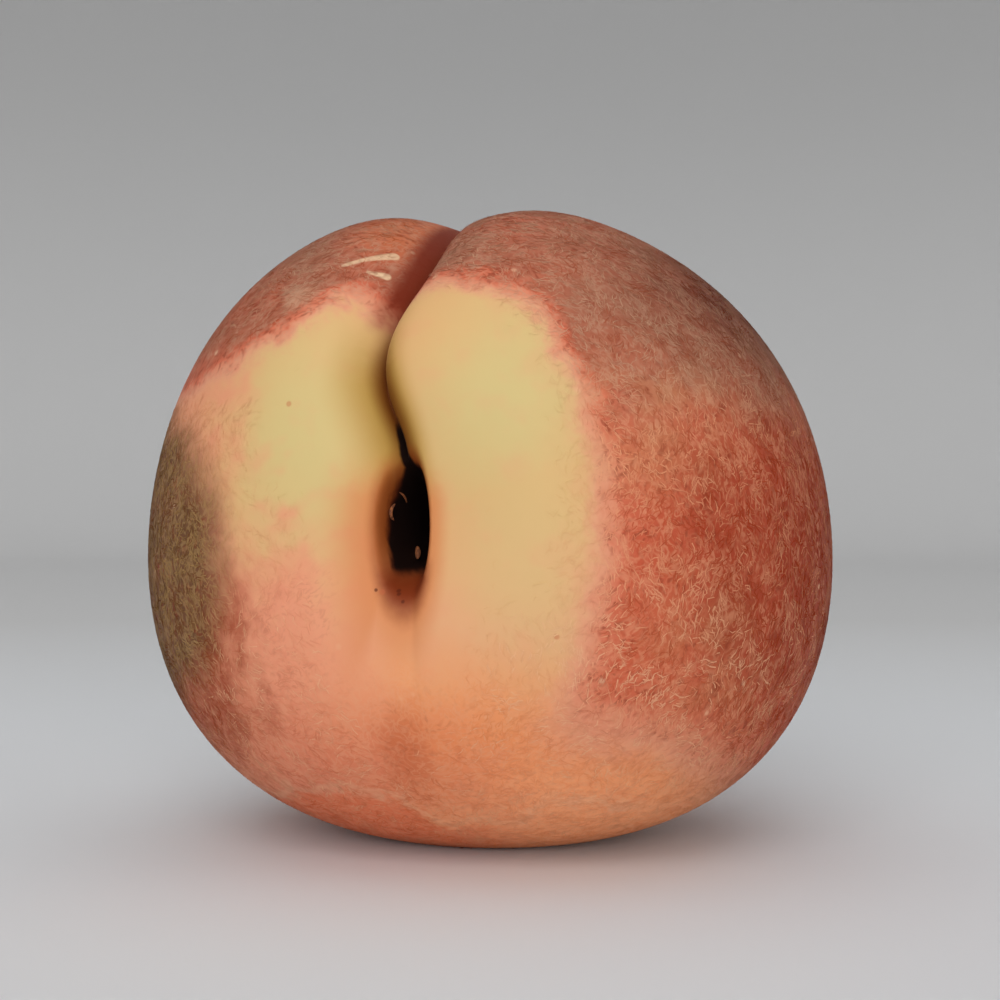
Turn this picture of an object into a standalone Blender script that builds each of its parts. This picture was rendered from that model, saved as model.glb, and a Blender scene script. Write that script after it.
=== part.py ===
"""A ripe peach lying on its side, grown as one closed body.

The fruit's own axis runs along Y. The stem cavity opens towards -Y, the tip points to +Y, and the suture runs over
the top from the cavity to the tip. X goes across the two cheeks and Z is up. The fruit rests on a small flat spot,
and the middle of that spot is the origin.

A place on the skin is given by two angles: its reach, from 0 at the stem cavity to 180 degrees at the tip, and its
turn about the axis, from 0 at the top to 90 degrees at the +X cheek.
"""
import math

import bmesh
import bpy
import numpy as np

# Flesh without its swells: half sizes of the girth, the lengths to both ends, in metres, and how full the ends are.
HALF_WIDTH = 0.0352
HALF_HEIGHT = 0.0344
STEM_LENGTH = 0.0340
TIP_LENGTH = 0.0345
STEM_FULLNESS = 2.3
TIP_FULLNESS = 2.1

# Swells of the flesh: turn of the crown in degrees, height in metres, and spread in degrees.
SWELLS = (
    (129.0, 0.0045, 34.4),
    (-129.0, 0.0042, 38.5),
    (70.0, 0.0014, 45.0),
    (-37.0, 0.0017, 45.0),
)

# Suture: a soft valley between the two halves, with a sharp crease along its floor.
VALLEY_DEPTH = 0.0020
VALLEY_WIDTH = 0.0070
CREASE_DEPTH = 0.0050
CREASE_DEPTH_AT_TIP = 0.0004
CREASE_FADE_REACH = 80.0
CREASE_WIDTH_RIGHT = 0.0013
CREASE_WIDTH_LEFT = 0.0032
CREASE_LEAN = 0.0012
CREASE_BEND = 0.0037
CREASE_BEND_REACH = 30.5
CREASE_BEND_SPREAD = 13.5
SUTURE_RISE = 0.0110

# Stem cavity: an upright oval funnel inside a shallow dish.
CAVITY_DEPTH = 0.0150
CAVITY_LEFT = 0.0024
CAVITY_RIGHT = 0.0020
CAVITY_HALF_HEIGHT = 0.0060
CAVITY_SHARPNESS = 5.0
DISH_DEPTH = 0.0028
DISH_RADIUS = 0.0110

# Trough that runs down from the cavity, opposite the suture.
TROUGH_DEPTH = 0.0012
TROUGH_OFFSET = 0.0008
TROUGH_WIDTH_RIGHT = 0.0012
TROUGH_WIDTH_LEFT = 0.0035
TROUGH_LENGTH = 0.0150

# Tip at the far end: a shallow dimple with a small point in it.
TIP_DIMPLE_DEPTH = 0.0012
TIP_DIMPLE_SPREAD = 22.0
TIP_POINT_HEIGHT = 0.0014
TIP_POINT_SPREAD = 6.0

# Resting spot: how much of the underside is taken off flat.
REST_CUT = 0.0007

# Mesh: rings from the cavity to the tip, and columns about the axis.
RINGS_IN_CAVITY = 16
RINGS_ON_FLESH = 40
CAVITY_RINGS_REACH = 2.2
COLUMNS = 96
COLUMN_CROWDING = 0.18
COLUMN_SHIFT_SPAN = 70.0

SKIN_COLOUR = (0.62, 0.25, 0.12, 1.0)
SKIN_ROUGHNESS = 0.75


def smooth_step(value):
    """0 below 0, 1 above 1, and a smooth rise between them."""
    part = np.clip(value, 0.0, 1.0)
    return part * part * (3.0 - 2.0 * part)


def hump(value, spread):
    """1 at 0, falling off smoothly on both sides."""
    return np.exp(-((value / spread) ** 2))


def direction(reach, turn):
    """Unit vectors towards the places with these two angles, in radians."""
    across = np.sin(reach) * np.sin(turn)
    along = -np.cos(reach) + 0.0 * turn
    up = np.sin(reach) * np.cos(turn)
    return np.stack([across, along, up], axis=-1)


def girth_radius(turn):
    """Distance from the axis to the smooth flesh, half way along the fruit."""
    radius = 1.0 / np.hypot(np.sin(turn) / HALF_WIDTH, np.cos(turn) / HALF_HEIGHT)
    for crown, height, spread in SWELLS:
        off = np.remainder(turn - math.radians(crown) + math.pi, math.tau) - math.pi
        radius = radius + height * hump(off, math.radians(spread))
    return radius


def flesh_radius(reach, turn):
    """Distance from the middle of the fruit to the smooth flesh."""
    stem_side = reach < math.pi / 2.0
    length = np.where(stem_side, STEM_LENGTH, TIP_LENGTH)
    fullness = np.where(stem_side, STEM_FULLNESS, TIP_FULLNESS)
    outward = np.sin(reach) / girth_radius(turn)
    endward = np.abs(np.cos(reach)) / length
    return (outward ** fullness + endward ** fullness) ** (-1.0 / fullness)


def crease_line(reach):
    """X of the crease at this reach."""
    bend = hump(reach - math.radians(CREASE_BEND_REACH), math.radians(CREASE_BEND_SPREAD))
    return -CREASE_LEAN * np.sin(reach) - CREASE_BEND * bend


def fold(off, width_left, width_right):
    """1 along a sharp line, falling off on both sides as two rounded lips do."""
    width = np.where(off > 0.0, width_right, width_left)
    return np.exp(-np.abs(off) / width)


def suture_depth(reach, across, up):
    """Valley and crease of the suture, which lies over the top and fades out under the cavity."""
    off = across - crease_line(reach)
    fade = np.exp(-((reach / math.radians(CREASE_FADE_REACH)) ** 3))
    crease = CREASE_DEPTH_AT_TIP + (CREASE_DEPTH - CREASE_DEPTH_AT_TIP) * fade
    valley = VALLEY_DEPTH * np.sin(reach)
    upper = smooth_step(up / SUTURE_RISE)
    lips = fold(off, CREASE_WIDTH_LEFT, CREASE_WIDTH_RIGHT)
    return upper * (valley * hump(off, VALLEY_WIDTH) + crease * lips)


def cavity_depth(across, up):
    """Funnel of the stem cavity with the dish around it, and the trough below."""
    half_width = np.where(across > 0.0, CAVITY_RIGHT, CAVITY_LEFT)
    oval = np.hypot(across / half_width, up / CAVITY_HALF_HEIGHT)
    funnel = CAVITY_DEPTH * np.exp(-(oval ** CAVITY_SHARPNESS))
    dish = DISH_DEPTH * hump(np.hypot(across, up), DISH_RADIUS)
    lower = smooth_step(-up / CAVITY_HALF_HEIGHT) * hump(up, TROUGH_LENGTH)
    trough = TROUGH_DEPTH * lower * fold(across - TROUGH_OFFSET, TROUGH_WIDTH_LEFT, TROUGH_WIDTH_RIGHT)
    return funnel + dish + trough


def tip_depth(reach):
    """Dimple at the tip, less the small point in its middle."""
    off = math.pi - reach
    dimple = TIP_DIMPLE_DEPTH * hump(off, math.radians(TIP_DIMPLE_SPREAD))
    return dimple - TIP_POINT_HEIGHT * hump(off, math.radians(TIP_POINT_SPREAD))


def skin(reach, turn):
    """Places on the skin, measured from the middle of the fruit."""
    ray = direction(reach, turn)
    radius = flesh_radius(reach, turn)
    across = radius * ray[..., 0]
    up = radius * ray[..., 2]
    stem_side = reach < math.pi / 2.0
    depth = suture_depth(reach, across, up) + np.where(stem_side, cavity_depth(across, up), tip_depth(reach))
    return ray * (radius - depth)[..., None]


def ring_reaches(turns):
    """Reach of every ring at every turn: ovals in the cavity, then rounder and rounder towards the tip."""
    half_width = np.where(turns > 0.0, CAVITY_RIGHT, CAVITY_LEFT)
    oval = 1.0 / np.hypot(np.sin(turns) / half_width, np.cos(turns) / CAVITY_HALF_HEIGHT)
    edge = CAVITY_RINGS_REACH * oval / STEM_LENGTH
    inner = np.arange(1, RINGS_IN_CAVITY + 1) / RINGS_IN_CAVITY
    outer = np.arange(1, RINGS_ON_FLESH + 1) / (RINGS_ON_FLESH + 1)
    cavity = inner[:, None] * edge
    flesh = edge + outer[:, None] * (math.pi - edge)
    return np.concatenate([cavity, flesh])


def column_turns():
    """Turns of the columns, crowded at the crease, which column 0 follows."""
    part = (np.arange(COLUMNS) - COLUMNS // 2) / (COLUMNS // 2)
    return np.sign(part) * math.pi * (COLUMN_CROWDING * np.abs(part) + (1.0 - COLUMN_CROWDING) * part ** 2)


def skin_mesh():
    """Closed mesh of rings and columns, with a fan of triangles at the cavity's floor and at the tip."""
    turns = column_turns()
    reaches = ring_reaches(turns)
    span = math.radians(COLUMN_SHIFT_SPAN)
    at_crease = crease_line(reaches) / (HALF_HEIGHT * np.sin(reaches))
    bent = turns + at_crease * hump(turns, span) * smooth_step(reaches / math.radians(CREASE_BEND_REACH))
    rings = skin(reaches, bent)
    ends = skin(np.array([1e-6, math.pi - 1e-6]), np.zeros(2))
    bm = bmesh.new()
    grid = [[bm.verts.new(place) for place in ring] for ring in rings]
    stem_end = bm.verts.new(ends[0])
    tip_end = bm.verts.new(ends[1])
    for column in range(COLUMNS):
        beside = (column + 1) % COLUMNS
        bm.faces.new((stem_end, grid[0][column], grid[0][beside]))
        bm.faces.new((tip_end, grid[-1][beside], grid[-1][column]))
        for low, high in zip(grid, grid[1:]):
            bm.faces.new((low[beside], low[column], high[column], high[beside]))
    return bm


def cut_resting_spot(bm):
    """Take the underside off flat, close it with one face, and put the middle of that face at the origin."""
    lowest = min(vert.co.z for vert in bm.verts)
    everything = bm.verts[:] + bm.edges[:] + bm.faces[:]
    level = (0.0, 0.0, lowest + REST_CUT)
    cut = bmesh.ops.bisect_plane(bm, geom=everything, plane_co=level, plane_no=(0.0, 0.0, -1.0), clear_outer=True)
    rim = [item for item in cut["geom_cut"] if isinstance(item, bmesh.types.BMEdge)]
    spot = bmesh.ops.contextual_create(bm, geom=rim)["faces"][0]
    middle = spot.calc_center_median_weighted()
    bmesh.ops.translate(bm, verts=bm.verts, vec=-middle)
    for vert in spot.verts:
        vert.co.z = 0.0


def skin_material():
    """Soft matte skin of a ripe peach."""
    material = bpy.data.materials.new("peach_skin")
    material.use_nodes = True
    shader = material.node_tree.nodes["Principled BSDF"]
    shader.inputs["Base Color"].default_value = SKIN_COLOUR
    shader.inputs["Roughness"].default_value = SKIN_ROUGHNESS
    shader.inputs["Metallic"].default_value = 0.0
    return material


def build_peach():
    """The whole fruit as one object."""
    bm = skin_mesh()
    cut_resting_spot(bm)
    bmesh.ops.recalc_face_normals(bm, faces=bm.faces)
    mesh = bpy.data.meshes.new("peach")
    bm.to_mesh(mesh)
    bm.free()
    mesh.shade_smooth()
    mesh.materials.append(skin_material())
    peach = bpy.data.objects.new("peach", mesh)
    bpy.context.scene.collection.objects.link(peach)
    return peach


for old in list(bpy.data.objects):
    bpy.data.objects.remove(old, do_unlink=True)
build_peach()
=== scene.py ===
"""A ripe peach on its side, with downy blushed skin and dry scraps of scar in its cavity, in a studio."""
import math

import bpy
import numpy as np
from bpy.props import FloatProperty, FloatVectorProperty, IntProperty, PointerProperty
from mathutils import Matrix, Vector


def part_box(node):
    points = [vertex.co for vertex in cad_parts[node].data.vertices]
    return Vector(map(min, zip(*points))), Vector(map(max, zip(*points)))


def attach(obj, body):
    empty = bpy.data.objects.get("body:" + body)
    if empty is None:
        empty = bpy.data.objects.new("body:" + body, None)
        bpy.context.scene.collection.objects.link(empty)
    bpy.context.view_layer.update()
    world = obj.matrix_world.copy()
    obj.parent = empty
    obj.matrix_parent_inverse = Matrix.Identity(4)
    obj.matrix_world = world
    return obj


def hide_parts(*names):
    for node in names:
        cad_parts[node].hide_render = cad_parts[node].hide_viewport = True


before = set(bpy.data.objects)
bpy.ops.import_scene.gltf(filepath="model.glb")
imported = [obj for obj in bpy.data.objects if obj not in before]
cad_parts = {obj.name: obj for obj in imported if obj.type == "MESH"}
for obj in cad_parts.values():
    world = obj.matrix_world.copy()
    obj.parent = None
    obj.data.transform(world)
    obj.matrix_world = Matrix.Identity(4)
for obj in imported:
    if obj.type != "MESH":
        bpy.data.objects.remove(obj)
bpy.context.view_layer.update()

bl_info = {
    "name": "Ripe Peach",
    "version": (1, 0, 0),
    "blender": (4, 5, 0),
    "location": "View3D > Sidebar > Peach",
    "description": "Builds a ripe peach with downy, blushed skin in a plain studio",
    "category": "Add Mesh",
}

CAD_LOW, CAD_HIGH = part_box("peach")
MM = 0.001

# Flesh without its swells: half sizes of the girth, the lengths to both ends, and how full the ends are.
# Lengths are in metres, and angles in degrees.
HALF_WIDTH = 0.0352
HALF_HEIGHT = 0.0344
STEM_LENGTH = 0.0340
TIP_LENGTH = 0.0345
STEM_FULLNESS = 2.3
TIP_FULLNESS = 2.1

# Swells of the flesh: turn of the crown in degrees, height in metres, and spread in degrees.
SWELLS = (
    (129.0, 0.0045, 34.4),
    (-129.0, 0.0042, 38.5),
    (70.0, 0.0014, 45.0),
    (-37.0, 0.0017, 45.0),
)

# Suture: a soft valley between the two halves, with a sharp crease along its floor.
VALLEY_DEPTH = 0.0020
VALLEY_WIDTH = 0.0070
CREASE_DEPTH = 0.0050
CREASE_DEPTH_AT_TIP = 0.0004
CREASE_FADE_REACH = 80.0
CREASE_WIDTH_RIGHT = 0.0013
CREASE_WIDTH_LEFT = 0.0032
CREASE_LEAN = 0.0012
CREASE_BEND = 0.0037
CREASE_BEND_REACH = 30.5
CREASE_BEND_SPREAD = 13.5
SUTURE_RISE = 0.0110

# Stem cavity: an upright oval funnel inside a shallow dish.
CAVITY_DEPTH = 0.0150
CAVITY_LEFT = 0.0024
CAVITY_RIGHT = 0.0020
CAVITY_HALF_HEIGHT = 0.0060
CAVITY_SHARPNESS = 5.0
DISH_DEPTH = 0.0028
DISH_RADIUS = 0.0110

# Trough that runs down from the cavity, opposite the suture.
TROUGH_DEPTH = 0.0012
TROUGH_OFFSET = 0.0008
TROUGH_WIDTH_RIGHT = 0.0012
TROUGH_WIDTH_LEFT = 0.0035
TROUGH_LENGTH = 0.0150

# Tip at the far end: a shallow dimple with a small point in it.
TIP_DIMPLE_DEPTH = 0.0012
TIP_DIMPLE_SPREAD = 22.0
TIP_POINT_HEIGHT = 0.0014
TIP_POINT_SPREAD = 6.0

# Resting spot: how much of the underside is taken off flat.
REST_CUT = 0.0007

# Fine mesh: where its rings and columns crowd together.
CAVITY_RINGS_REACH = 2.2
CAVITY_RINGS_PART = 0.28
COLUMN_CROWDING = 0.18
COLUMN_SHIFT_SPAN = 70.0

# How far the two end points of the grid stay off the fruit's axis, in radians.
END_GAP = 1e-6

# Edge of the blush on the +X half: an oval round the cavity, as parts of the unit direction.
BLUSH_MIDDLE = (0.05, 0.0, 0.0)
BLUSH_HALF_SIZE = (0.46, 0.64)
BLUSH_STRETCH = (1.0 / BLUSH_HALF_SIZE[0], 0.0, 1.0 / BLUSH_HALF_SIZE[1])

# Edge of the blush on the -X crown: its height where it would meet the crease, how it falls away from there
# and how that eases, and the most that its height can be, as parts of the unit direction.
CROWN_EDGE = (0.845, 1.095, 0.60)
CROWN_EDGE_TOP = 0.645

# Soft spots of colour: middle and half sizes as parts of the unit direction, where None leaves a part out,
# then how far out the spot is full and where it ends, as multiples of its half sizes.
PALE_SPOT_LEFT = ((-0.30, 0.0, 0.24), (0.25, None, 0.40), 0.1, 1.25)
PALE_SPOT_RIGHT = ((0.27, 0.0, 0.34), (0.26, None, 0.32), 0.1, 1.3)
PALE_SPOT_CHEEK = ((0.34, 0.0, -0.05), (0.20, None, 0.40), 0.1, 1.3)
TRAIL_SPOT = ((-0.03, -0.78, -0.60), (0.09, 0.4, 0.14), 0.2, 1.3)
WARM_SPOT = ((-0.12, -0.40, 0.90), (0.24, 0.45, 0.20), 0.3, 1.2)
DUSK_SPOT = ((0.74, -0.10, 0.64), (0.46, 0.75, 0.30), 0.1, 1.25)
RUBBED_SPOT_HIGH = ((0.60, -0.65, 0.26), (0.22, 0.6, 0.22), 0.2, 1.3)
RUBBED_SPOT_LOW = ((0.70, -0.60, -0.32), (0.16, 0.6, 0.24), 0.2, 1.3)
BROWN_PATCH = ((-0.88, -0.45, -0.09), (0.46, 0.70, 0.42), 0.74, 1.14)

# Finish of the materials: how much the skin and the scraps shine, and how rough the down and the paper are.
SKIN_SHINE = 0.15
SCRAP_SHINE = 0.5
DOWN_ROUGHNESS = 0.9
PAPER_ROUGHNESS = 0.95

# Studio sweep: the cove between floor and wall, the rings of the floor and the height of the wall, as parts
# of its radius.
SWEEP_COVE = 0.35
SWEEP_START = 0.02
SWEEP_GROWTH = 1.32
SWEEP_RINGS = 14
SWEEP_BEND_RINGS = 17
SWEEP_HEIGHT = 1.6
SWEEP_SIDES = 96

# Waves summed for one smooth random value, the shortest and longest as parts of the usual one, and how many
# times their usual sum is about the most that it reaches.
WAVE_COUNT = 14
WAVE_LENGTHS = (0.7, 1.5)
WAVE_REACH = 1.6

# A distance from the cavity that is well past all that is near it, as a multiple of its mouth.
FAR_SPAN = 9.0

# Specks on the front, in millimetres across and up from the middle of the fruit, with the radius of each
# kind, and the spacing of the pale ones.
DARK_SPECKS = ((-2.8, -6.2), (-0.9, -6.3), (-0.8, -6.6), (-0.3, -7.3))
RED_SPECKS = ((-12.1, 11.7), (-2.2, -6.4), (14.7, -10.3))
DARK_SPECK_RADIUS = 0.22
RED_SPECK_RADIUS = 0.36
SPECK_SPACING = 5.5

# How far a radian about the fruit's axis counts in the pattern of its strands, in millimetres.
COMBED_RADIUS = 20.0

# Scrapes in the down of the -X crown: where each starts and ends, in millimetres from the middle of the
# fruit, and half its width at its end. The down is also matted round one spot.
SCRAPES = (
    ((-9.1, -23.1, 26.1), (-4.7, -20.3, 27.2), 0.55),
    ((-6.5, -23.2, 25.2), (-4.7, -22.7, 24.8), 0.42),
)
MATTED_SPOT = ((-13.3, -25.4, 22.6), (2.8, 4.0, 1.7), 0.2, 1.2)

# Dry scraps on the wall of the cavity: where each starts, bends and ends, with its width and thickness, in
# millimetres from the middle of the fruit.
SCRAPS = (
    ((-1.90, -28.5, 2.0), (-2.15, -29.1, 1.2), (-2.00, -28.6, 0.4), 0.38, 0.26),
    ((-1.60, -28.0, 3.1), (-1.35, -27.3, 2.7), (-1.35, -26.6, 2.1), 0.24, 0.20),
    ((-1.05, -24.2, -2.2), (-0.90, -24.4, -2.8), (-0.80, -24.8, -3.4), 0.62, 0.44),
)
SCRAP_STEPS = 12
SCRAP_SIDES = 8

# Mouth of the cavity, dry skin painted near black as the shadow in its deep hole, in millimetres from the
# middle of the fruit. Its -X edge is upright, slants to a waist above the cavity, and opens again into the
# crease up to its top.
MOUTH_EDGE = 2.35
MOUTH_WAIST = 1.1
MOUTH_WAIST_HEIGHT = 5.5
MOUTH_SLANT = 0.3
MOUTH_TOP = 10.5
MOUTH_BOTTOM = -4.4
MOUTH_CORNER = -2.0

# Hairs: the corners of a strip and the faces between them, the least and most of their length, width and
# height as parts of the usual ones, how far their headings stray, and how much they curl.
HAIR_CORNERS = 5
HAIR_QUAD = np.array([0, 1, 2, 3])
HAIR_POINT = np.array([3, 2, 4])
HAIR_LENGTHS = (0.55, 1.35)
HAIR_WIDTHS = (0.7, 1.3)
HAIR_LIFTS = (0.3, 1.0)
HAIR_STRAY = 0.42
HAIR_CURL = 0.22

# Lumps in how the hairs turn and in how pale they are, in metres, how far the paleness goes up and down with
# its lumps, and how far it strays from them.
HAIR_TURN_LUMPS = 0.005
HAIR_SHADE_LUMPS = 0.0035
HAIR_SHADE_WAVE = 0.45
HAIR_SHADE_STRAY = 0.22

# Hairs on skin that is not blushed, as a part of those on the blush.
SPARSE_DOWN = 0.003

# Skin that is bare of hairs: width of the strip along the crease on the +X side, how many times that it is
# on the -X side, the least depth of the crease there, and the reach and fade round the cavity, as multiples
# of its mouth.
BARE_CREASE_WIDTH = 0.0025
BARE_CREASE_LEFT = 2.4
BARE_CREASE_DEPTH = 0.0005
BARE_SPAN = 5.0
BARE_SPAN_FADE = 1.5


def smooth_step(value):
    """0 below 0, 1 above 1, and a smooth rise between them."""
    part = np.clip(value, 0.0, 1.0)
    return part * part * (3.0 - 2.0 * part)


def hump(value, spread):
    """1 at 0, falling off smoothly on both sides."""
    return np.exp(-((value / spread) ** 2))


def fold(off, width_left, width_right):
    """1 along a sharp line, falling off on both sides as two rounded lips do."""
    width = np.where(off > 0.0, width_right, width_left)
    return np.exp(-np.abs(off) / width)


def direction(reach, turn):
    """Unit vectors towards the places with these two angles, in radians."""
    across = np.sin(reach) * np.sin(turn)
    along = -np.cos(reach) + 0.0 * turn
    up = np.sin(reach) * np.cos(turn)
    return np.stack([across, along, up], axis=-1)


def girth_radius(turn):
    """Distance from the axis to the smooth flesh, half way along the fruit."""
    radius = 1.0 / np.hypot(np.sin(turn) / HALF_WIDTH, np.cos(turn) / HALF_HEIGHT)
    for crown, height, spread in SWELLS:
        off = np.remainder(turn - math.radians(crown) + math.pi, math.tau) - math.pi
        radius = radius + height * hump(off, math.radians(spread))
    return radius


def flesh_radius(reach, turn):
    """Distance from the middle of the fruit to the smooth flesh."""
    stem_side = reach < math.pi / 2.0
    length = np.where(stem_side, STEM_LENGTH, TIP_LENGTH)
    fullness = np.where(stem_side, STEM_FULLNESS, TIP_FULLNESS)
    outward = np.sin(reach) / girth_radius(turn)
    endward = np.abs(np.cos(reach)) / length
    return (outward ** fullness + endward ** fullness) ** (-1.0 / fullness)


def crease_line(reach):
    """X of the crease at this reach."""
    bend = hump(reach - math.radians(CREASE_BEND_REACH), math.radians(CREASE_BEND_SPREAD))
    return -CREASE_LEAN * np.sin(reach) - CREASE_BEND * bend


def suture_depth(reach, across, up):
    """Valley and crease of the suture, which lies over the top and fades out under the cavity."""
    off = across - crease_line(reach)
    fade = np.exp(-((reach / math.radians(CREASE_FADE_REACH)) ** 3))
    crease = CREASE_DEPTH_AT_TIP + (CREASE_DEPTH - CREASE_DEPTH_AT_TIP) * fade
    valley = VALLEY_DEPTH * np.sin(reach)
    upper = smooth_step(up / SUTURE_RISE)
    lips = fold(off, CREASE_WIDTH_LEFT, CREASE_WIDTH_RIGHT)
    return upper * (valley * hump(off, VALLEY_WIDTH) + crease * lips)


def cavity_span(across, up):
    """Distance from the cavity's axis, as a multiple of the size of its oval mouth."""
    half_width = np.where(across > 0.0, CAVITY_RIGHT, CAVITY_LEFT)
    return np.hypot(across / half_width, up / CAVITY_HALF_HEIGHT)


def cavity_depth(across, up):
    """Funnel of the stem cavity with the dish around it, and the trough below."""
    funnel = CAVITY_DEPTH * np.exp(-(cavity_span(across, up) ** CAVITY_SHARPNESS))
    dish = DISH_DEPTH * hump(np.hypot(across, up), DISH_RADIUS)
    lower = smooth_step(-up / CAVITY_HALF_HEIGHT) * hump(up, TROUGH_LENGTH)
    trough = TROUGH_DEPTH * lower * fold(across - TROUGH_OFFSET, TROUGH_WIDTH_LEFT, TROUGH_WIDTH_RIGHT)
    return funnel + dish + trough


def tip_depth(reach):
    """Dimple at the tip, less the small point in its middle."""
    off = math.pi - reach
    dimple = TIP_DIMPLE_DEPTH * hump(off, math.radians(TIP_DIMPLE_SPREAD))
    return dimple - TIP_POINT_HEIGHT * hump(off, math.radians(TIP_POINT_SPREAD))


def depths(reach, turn):
    """How deep the suture lies at these places, and how deep the cavity or the tip's dimple."""
    ray = direction(reach, turn)
    radius = flesh_radius(reach, turn)
    across = radius * ray[..., 0]
    up = radius * ray[..., 2]
    stem_side = reach < math.pi / 2.0
    return suture_depth(reach, across, up), np.where(stem_side, cavity_depth(across, up), tip_depth(reach))


def landmarks(reach, turn):
    """How far +X of the crease these places lie, and how far from the cavity, as cavity_span has it."""
    ray = direction(reach, turn) * flesh_radius(reach, turn)[..., None]
    span = np.where(reach < math.pi / 2.0, cavity_span(ray[..., 0], ray[..., 2]), FAR_SPAN)
    return ray[..., 0] - crease_line(reach), span


def skin(reach, turn):
    """Places on the skin, measured from the middle of the fruit."""
    suture, ends = depths(reach, turn)
    return direction(reach, turn) * (flesh_radius(reach, turn) - suture - ends)[..., None]


def ring_reaches(turns, rings):
    """Reach of every ring at every turn: ovals in the cavity, then rounder and rounder towards the tip."""
    in_cavity = round(rings * CAVITY_RINGS_PART)
    half_width = np.where(turns > 0.0, CAVITY_RIGHT, CAVITY_LEFT)
    oval = 1.0 / np.hypot(np.sin(turns) / half_width, np.cos(turns) / CAVITY_HALF_HEIGHT)
    edge = CAVITY_RINGS_REACH * oval / STEM_LENGTH
    inner = np.arange(1, in_cavity + 1) / in_cavity
    outer = np.arange(1, rings - in_cavity + 1) / (rings - in_cavity + 1)
    cavity = inner[:, None] * edge
    flesh = edge + outer[:, None] * (math.pi - edge)
    return np.concatenate([cavity, flesh])


def column_turns(columns):
    """Turns of the columns, crowded at the crease, which the middle column follows."""
    part = (np.arange(columns) - columns // 2) / (columns // 2)
    return np.sign(part) * math.pi * (COLUMN_CROWDING * np.abs(part) + (1.0 - COLUMN_CROWDING) * part ** 2)


def grid_angles(rings, columns):
    """Reaches and turns of the grid's places, ring by ring, then of the cavity's floor and the tip."""
    turns = column_turns(columns)
    reaches = ring_reaches(turns, rings)
    span = math.radians(COLUMN_SHIFT_SPAN)
    at_crease = crease_line(reaches) / (HALF_HEIGHT * np.sin(reaches))
    bent = turns + at_crease * hump(turns, span) * smooth_step(reaches / math.radians(CREASE_BEND_REACH))
    ends = np.array([END_GAP, math.pi - END_GAP])
    return np.append(reaches.ravel(), ends), np.append(bent.ravel(), np.zeros(2))


def add_values(mesh, name, values):
    """Store one number for each vertex, which the materials read."""
    attribute = mesh.attributes.new(name, "FLOAT", "POINT")
    attribute.data.foreach_set("value", np.ascontiguousarray(values, dtype=np.float32))


def middle_of_fruit(places):
    """Where the middle of the fruit lies in the frame, so that these places fill the solid's box."""
    low = places.min(axis=0)
    high = places.max(axis=0)
    middle = (np.array(CAD_LOW) + np.array(CAD_HIGH) - low - high) / 2.0
    middle[2] = CAD_LOW[2] - (low[2] + REST_CUT)
    return middle


def rest_flat(places):
    """Flatten the underside onto the surface that the fruit rests on."""
    places[:, 2] = np.maximum(places[:, 2], CAD_LOW[2])
    return places


def grid_faces(rings, columns):
    """Quads between the rings, with a fan of triangles at each end. The two end points come last."""
    stem_end = rings * columns
    tip_end = stem_end + 1
    last = (rings - 1) * columns
    faces = []
    for column in range(columns):
        beside = (column + 1) % columns
        faces.append((stem_end, column, beside))
        faces.append((tip_end, last + beside, last + column))
        for low in range(0, last, columns):
            high = low + columns
            faces.append((low + beside, low + column, high + column, high + beside))
    return faces


def tint(code):
    """Colour as the shaders take it, from a six-figure web colour."""
    parts = [int(code[start:start + 2], 16) / 255.0 for start in (0, 2, 4)]
    return tuple(part / 12.92 if part <= 0.04045 else ((part + 0.055) / 1.055) ** 2.4 for part in parts)


def solid(colour):
    """A colour with its alpha, as a socket takes it."""
    return (*colour[:3], 1.0)


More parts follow.
